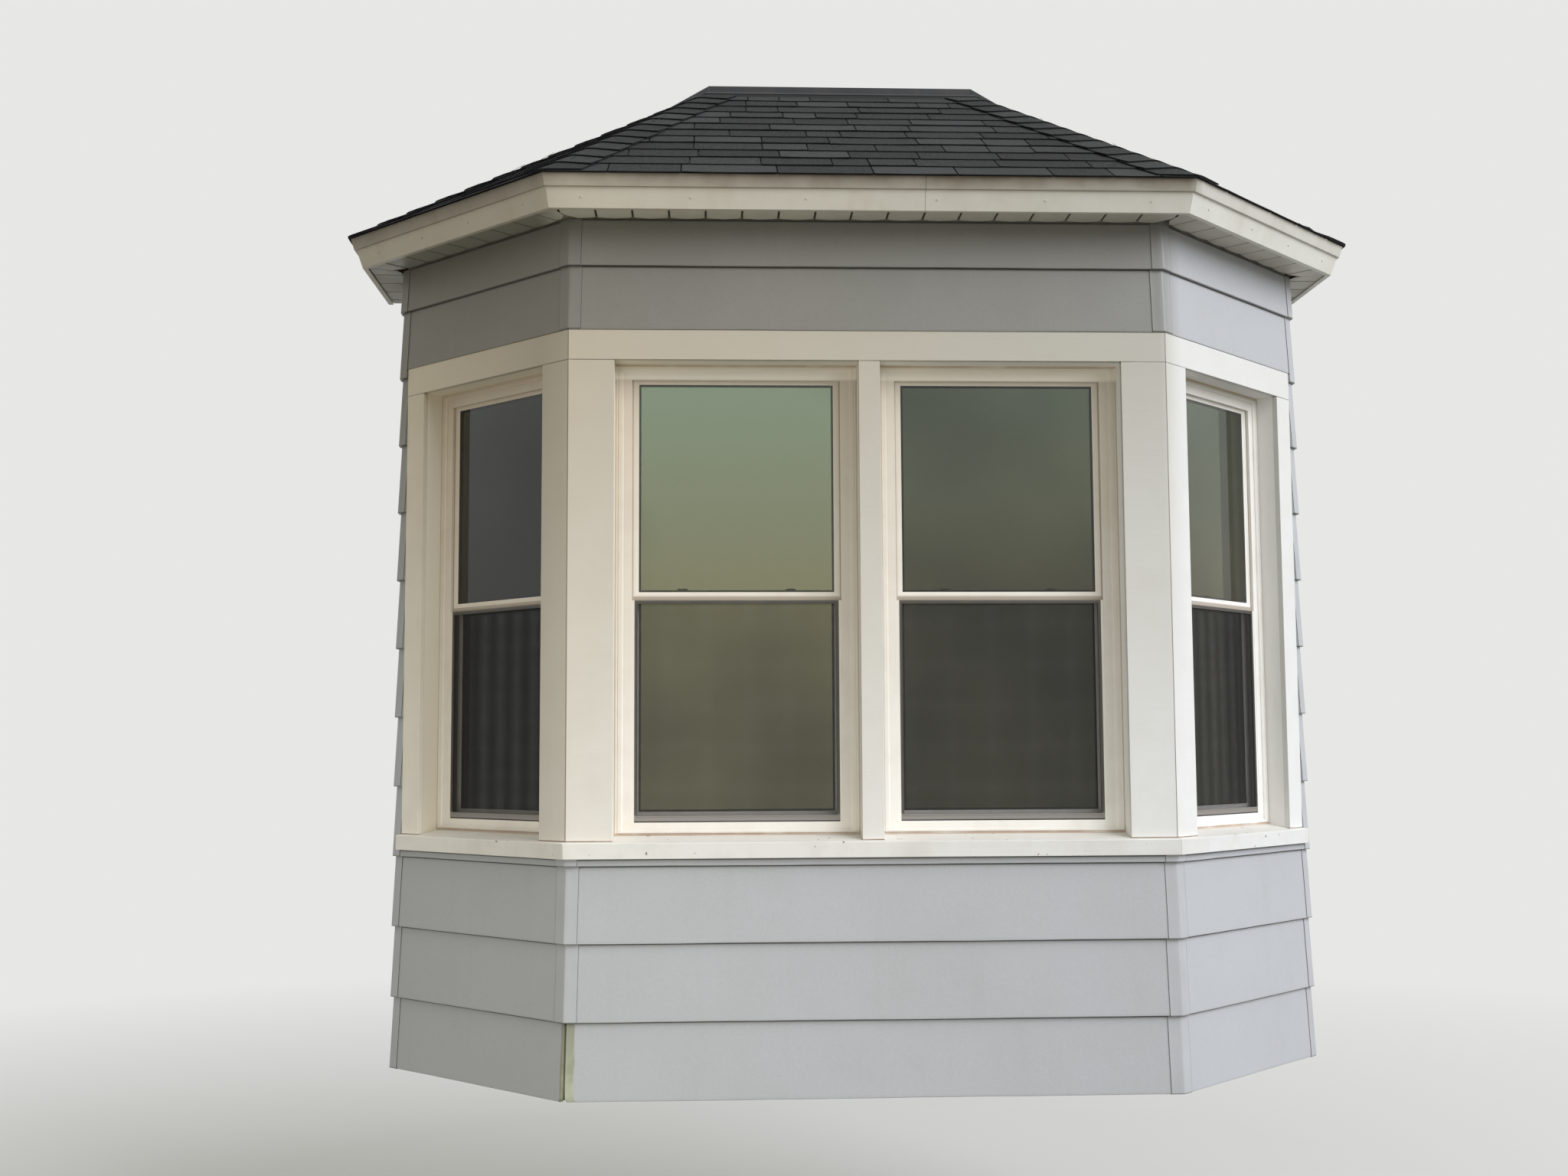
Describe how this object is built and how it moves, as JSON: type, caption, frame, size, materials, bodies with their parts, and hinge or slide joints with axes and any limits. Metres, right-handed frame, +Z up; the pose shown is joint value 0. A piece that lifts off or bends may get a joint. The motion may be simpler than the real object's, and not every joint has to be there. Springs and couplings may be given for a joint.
{
  "type": "five-sided bay window with lap siding and hipped shingle roof",
  "caption": "Half-octagon bay window that hangs on a house wall: double-hung windows with screens, lap-sided apron and frieze, ribbed soffit and a hipped shingle roof.",
  "frame": {"origin": "middle of the floor ledger's back face, on the wall plane and half way up the floor joists", "axes": "+X along the wall to the right as seen from outside, +Y square into the house wall, +Z up"},
  "size_m": [3.9004, 1.3904, 3.976],
  "materials": {
    "siding": "hardboard lap siding in semi-matt light blue-grey paint",
    "corner_cap": "thin folded metal painted with the siding",
    "trim_paint": "smooth boards in warm off-white paint",
    "soffit": "ribbed sheet soffit, off-white",
    "vinyl": "extruded vinyl, low sheen, warm white",
    "glass": "clear sealed glass units",
    "screen": "taupe frame with dark fibre mesh",
    "lock": "painted cast cam locks",
    "shingle": "charcoal mineral-faced asphalt shingles",
    "flashing": "dark bent sheet metal",
    "lumber": "bare softwood framing and boards",
    "underside": "weathered painted plywood sheet",
    "plaster": "painted plaster over framing"
  },
  "bodies": {
    "root": {"floor_frame": "lumber", "floor_deck": "lumber", "floor_underside": "underside", "knee_wall_front": "plaster", "knee_wall_left": "plaster", "knee_wall_right": "plaster", "post_left": "plaster", "post_right": "plaster", "post_middle": "plaster", "head_wall_front": "plaster", "head_wall_left": "plaster", "head_wall_right": "plaster", "return_wall_left": "plaster", "return_wall_right": "plaster", "ceiling": "plaster", "roof_frame": "lumber", "roof_boards": "lumber", "shingles_front": "shingle", "shingles_left": "shingle", "shingles_right": "shingle", "hip_caps": "shingle", "flashing": "flashing", "fascia": "trim_paint", "soffit": "soffit", "head_casing": "trim_paint", "corner_casing_left": "trim_paint", "corner_casing_right": "trim_paint", "middle_casing": "trim_paint", "outer_casings": "trim_paint", "sill": "trim_paint", "siding_front": "siding", "siding_left": "siding", "siding_right": "siding", "siding_return_left": "siding", "siding_return_right": "siding", "corner_caps": "corner_cap", "frame_front_left": "vinyl", "frame_front_right": "vinyl", "frame_left": "vinyl", "frame_right": "vinyl", "upper_sash_front_left": "vinyl", "upper_sash_front_right": "vinyl", "upper_sash_left": "vinyl", "upper_sash_right": "vinyl", "lower_sash_front_left": "vinyl", "lower_sash_front_right": "vinyl", "lower_sash_left": "vinyl", "lower_sash_right": "vinyl", "panes": "glass", "screens": "screen", "locks": "lock"}
  },
  "joints": []
}
